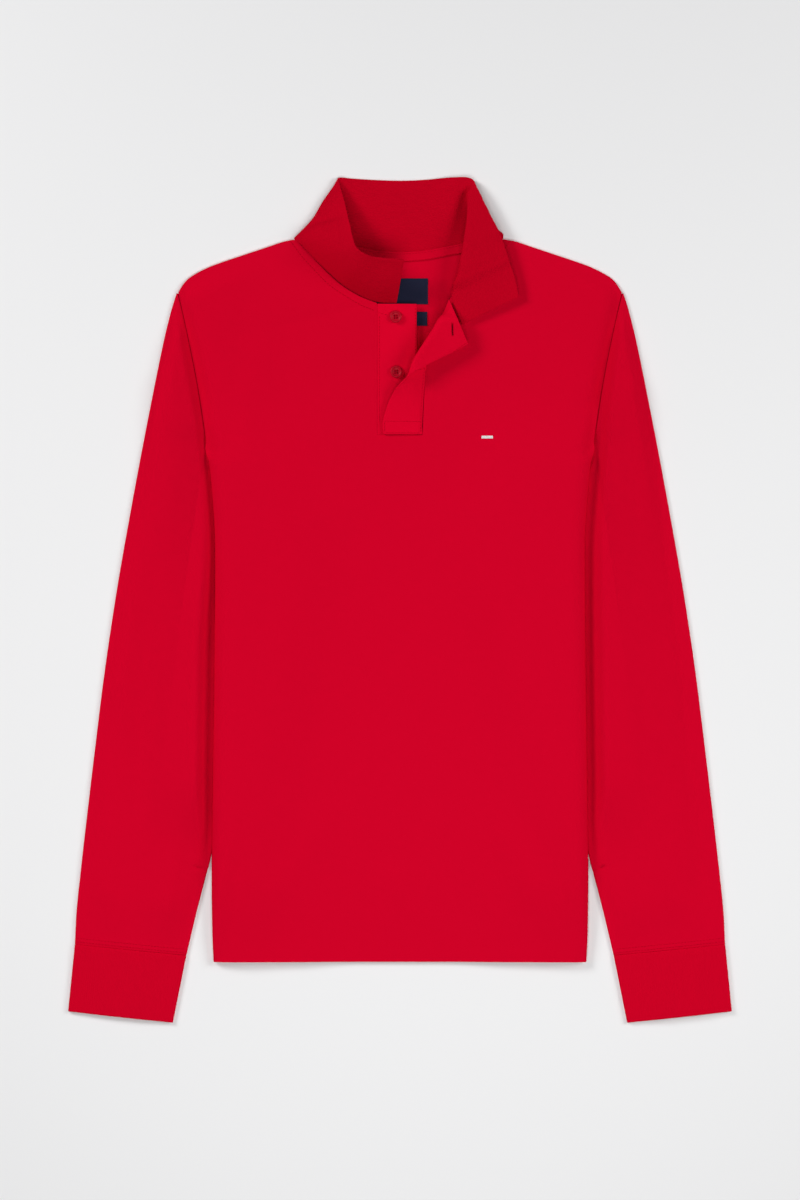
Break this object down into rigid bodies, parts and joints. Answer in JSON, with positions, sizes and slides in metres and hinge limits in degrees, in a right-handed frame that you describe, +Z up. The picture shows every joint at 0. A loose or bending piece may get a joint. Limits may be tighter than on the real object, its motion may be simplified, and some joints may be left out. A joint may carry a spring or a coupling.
{
  "type": "long-sleeve polo shirt",
  "caption": "Long-sleeve polo shirt laid flat, face up, with an open placket, a rib collar standing on one side and folded out on the other, and rib cuffs.",
  "frame": {"origin": "middle of the bounding box, on the surface the shirt lies on", "axes": "+X towards the wearer's left side, +Y from hem to collar, +Z up from the surface, out of the shirt's front"},
  "size_m": [0.6632, 0.8444, 0.0416],
  "materials": {
    "jersey": "matte fine cotton knit, red",
    "rib": "matte fine rib knit, a slightly darker red",
    "button": "polished resin, burgundy red",
    "label": "woven satin, navy, bare"
  },
  "bodies": {
    "root": {"front": "jersey", "back": "jersey", "sleeve_right": "jersey", "sleeve_left": "jersey", "cuff_right": "rib", "cuff_left": "rib", "collar": "rib", "placket_under": "jersey", "placket_top": "jersey", "neck_tape": "jersey", "button_1": "button", "button_2": "button", "label_main": "label", "label_size": "label"}
  },
  "joints": []
}
